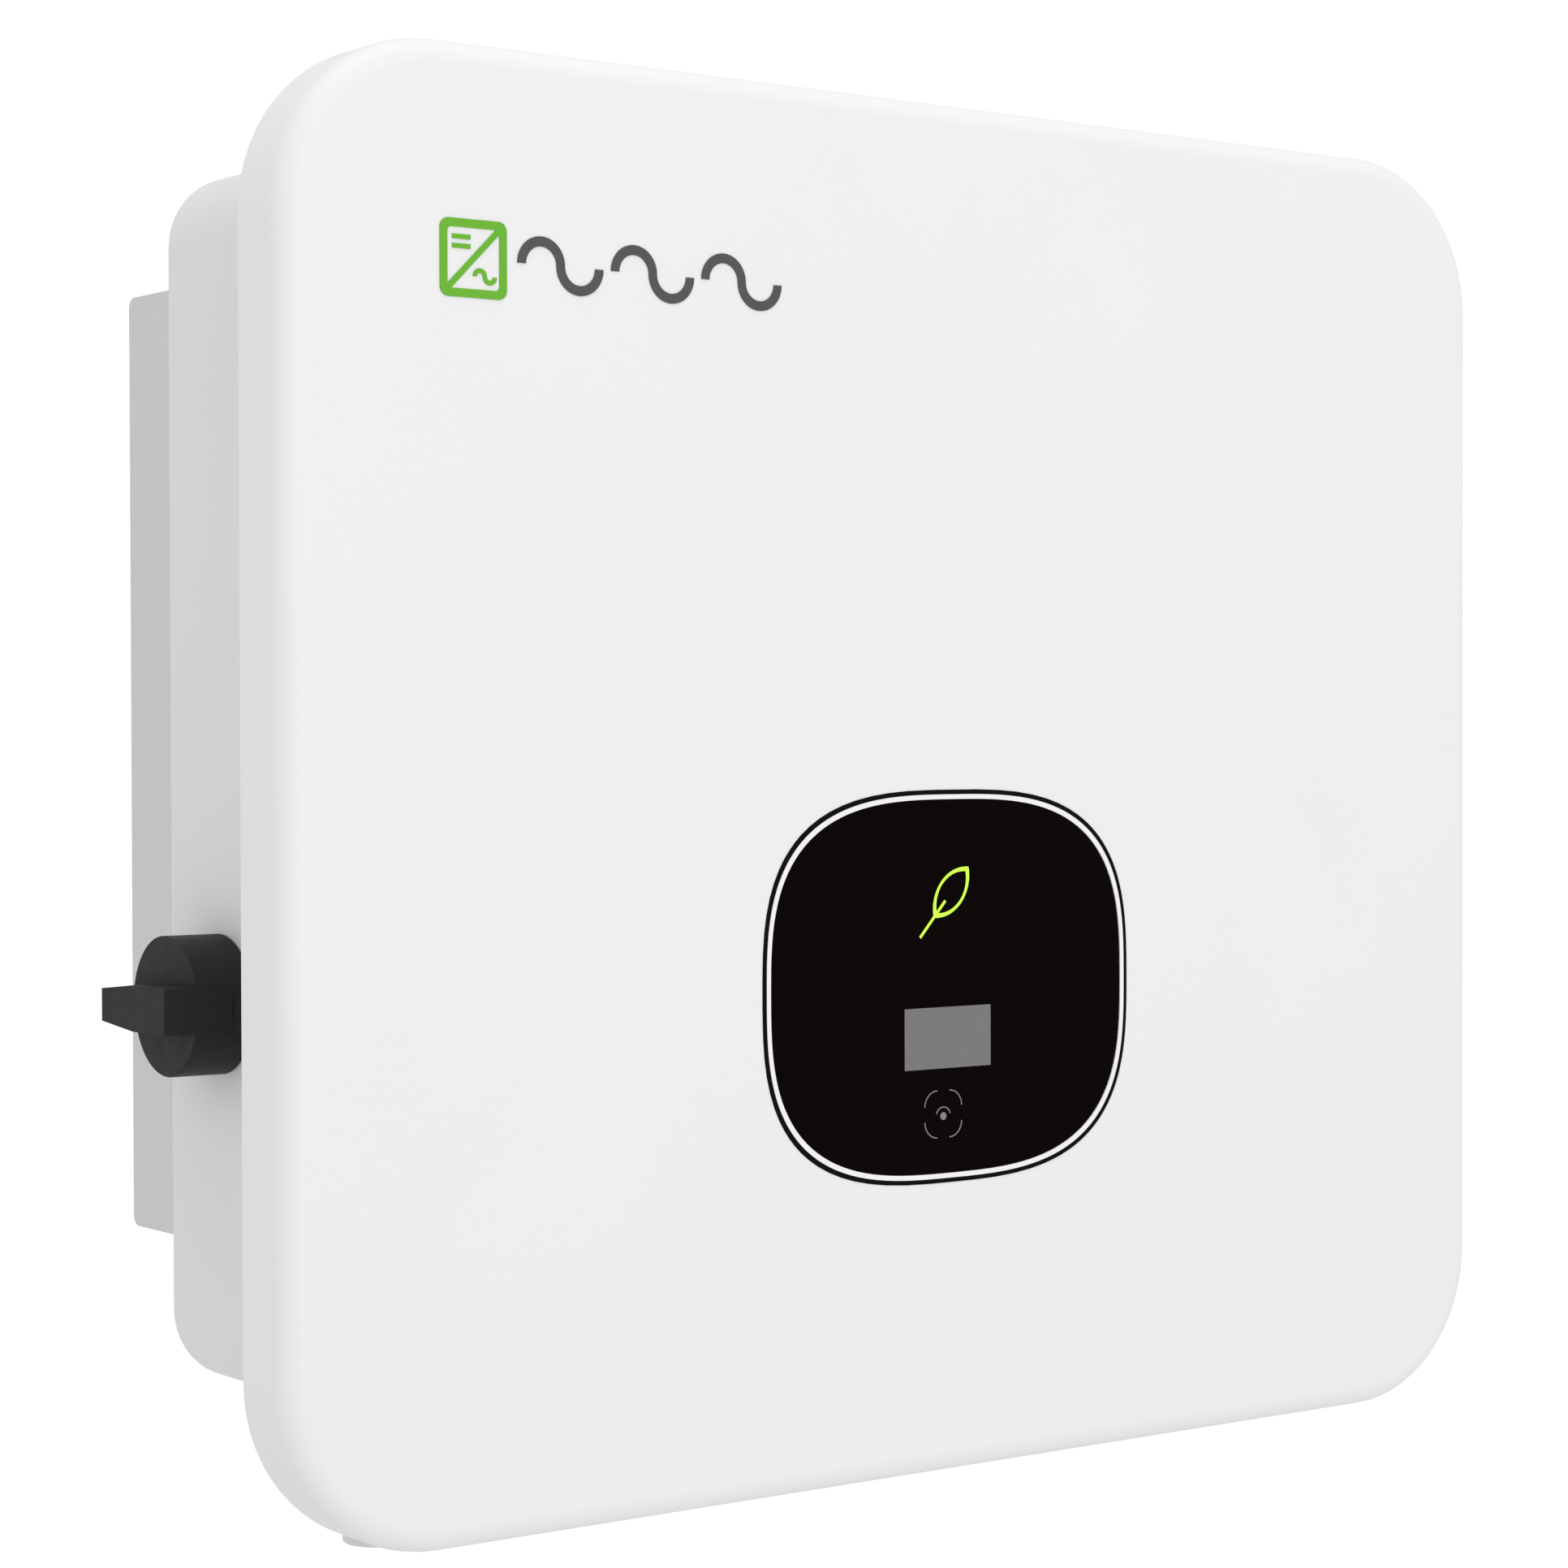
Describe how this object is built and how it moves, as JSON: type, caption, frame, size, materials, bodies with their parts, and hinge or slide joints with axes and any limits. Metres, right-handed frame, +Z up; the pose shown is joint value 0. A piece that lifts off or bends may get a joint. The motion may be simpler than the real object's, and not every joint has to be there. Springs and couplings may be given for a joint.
{
  "type": "string inverter",
  "caption": "Wall-hung string inverter: rounded white cover, black display window, finned heat sink, rotary isolator, plug sockets underneath and a hook-on wall bracket.",
  "frame": {"origin": "centre of the wall bracket's hole pattern on the wall plane", "axes": "+Z up, +Y into the wall, +X to the right of someone facing the unit"},
  "size_m": [0.4309, 0.1593, 0.3962],
  "materials": {
    "white_powder_coat": "satin",
    "grey_powder_coat": "satin",
    "extruded_aluminium": "satin",
    "zinc_steel": "satin",
    "black_rubber": "matte",
    "black_plastic": "matte",
    "grey_plastic": "matte",
    "white_plastic": "satin",
    "black_acrylic": "gloss",
    "screen": "satin",
    "lime_acrylic": "gloss",
    "green_ink": "satin",
    "grey_ink": "satin",
    "copper_alloy": "satin",
    "circuit_board": "satin",
    "foam": "matte",
    "wire_insulation": "satin",
    "module_epoxy": "matte",
    "ferrite": "matte",
    "can_aluminium": "satin"
  },
  "bodies": {
    "bracket": {"wall_bracket": "zinc_steel"},
    "inverter": {"ac_gasket": "black_rubber", "ac_pins": "copper_alloy", "ac_receptacle": "black_plastic", "ac_screws": "zinc_steel", "ac_wires": "wire_insulation", "board_screws": "zinc_steel", "capacitors": "can_aluminium", "com_port": "grey_plastic", "control_board": "circuit_board", "cover_gasket": "black_rubber", "cover_screws": "zinc_steel", "dc_wires": "wire_insulation", "display_bezel": "white_plastic", "display_board": "circuit_board", "display_gasket": "black_rubber", "display_panel": "black_acrylic", "display_screen": "screen", "display_screws": "zinc_steel", "earth_screw": "zinc_steel", "front_badge": "green_ink", "front_cover": "white_powder_coat", "hanger_rail": "zinc_steel", "hanger_screws": "zinc_steel", "heat_sink": "extruded_aluminium", "housing": "grey_powder_coat", "inductors": "ferrite", "main_board": "circuit_board", "phase_marks": "grey_ink", "port_fixings": "black_rubber", "power_modules": "module_epoxy", "pv_contacts": "copper_alloy", "pv_nuts": "grey_plastic", "pv_seals": "black_rubber", "pv_socket_minus_1": "grey_plastic", "pv_socket_minus_2": "grey_plastic", "pv_socket_plus_1": "grey_plastic", "pv_socket_plus_2": "grey_plastic", "pv_wires": "wire_insulation", "rear_buffers": "black_rubber", "relays_and_sensors": "grey_plastic", "ribbon_cable": "grey_plastic", "sink_gasket": "black_rubber", "sink_screws": "zinc_steel", "status_light": "lime_acrylic", "switch_body": "black_plastic", "switch_contacts": "copper_alloy", "switch_screws": "zinc_steel", "switch_seal": "black_rubber", "terminal_blocks": "grey_plastic", "thermal_pads": "foam", "touch_pad": "foam", "usb_port": "grey_plastic", "vent_valve": "black_plastic"},
    "switch": {"switch_knob": "black_plastic", "switch_shaft": "zinc_steel", "switch_rotor": "black_plastic", "rotor_contacts": "copper_alloy"},
    "com_cap": {"com_cap": "black_plastic"},
    "usb_cap": {"usb_cap": "black_plastic"}
  },
  "joints": [
    {"name": "lift_off", "type": "slide", "parent": "bracket", "child": "inverter", "axis": [0, 0, 1], "range_m": [0, 0.015]},
    {"name": "switch_turn", "type": "hinge", "parent": "inverter", "child": "switch", "pos_m": [-0.2, -0.0874, -0.1357], "axis": [1, 0, 0], "range_deg": [0, 90]},
    {"name": "com_cap_pull", "type": "slide", "parent": "inverter", "child": "com_cap", "axis": [0, 0, -1], "range_m": [0, 0.02]},
    {"name": "usb_cap_pull", "type": "slide", "parent": "inverter", "child": "usb_cap", "axis": [0, 0, -1], "range_m": [0, 0.02]}
  ]
}
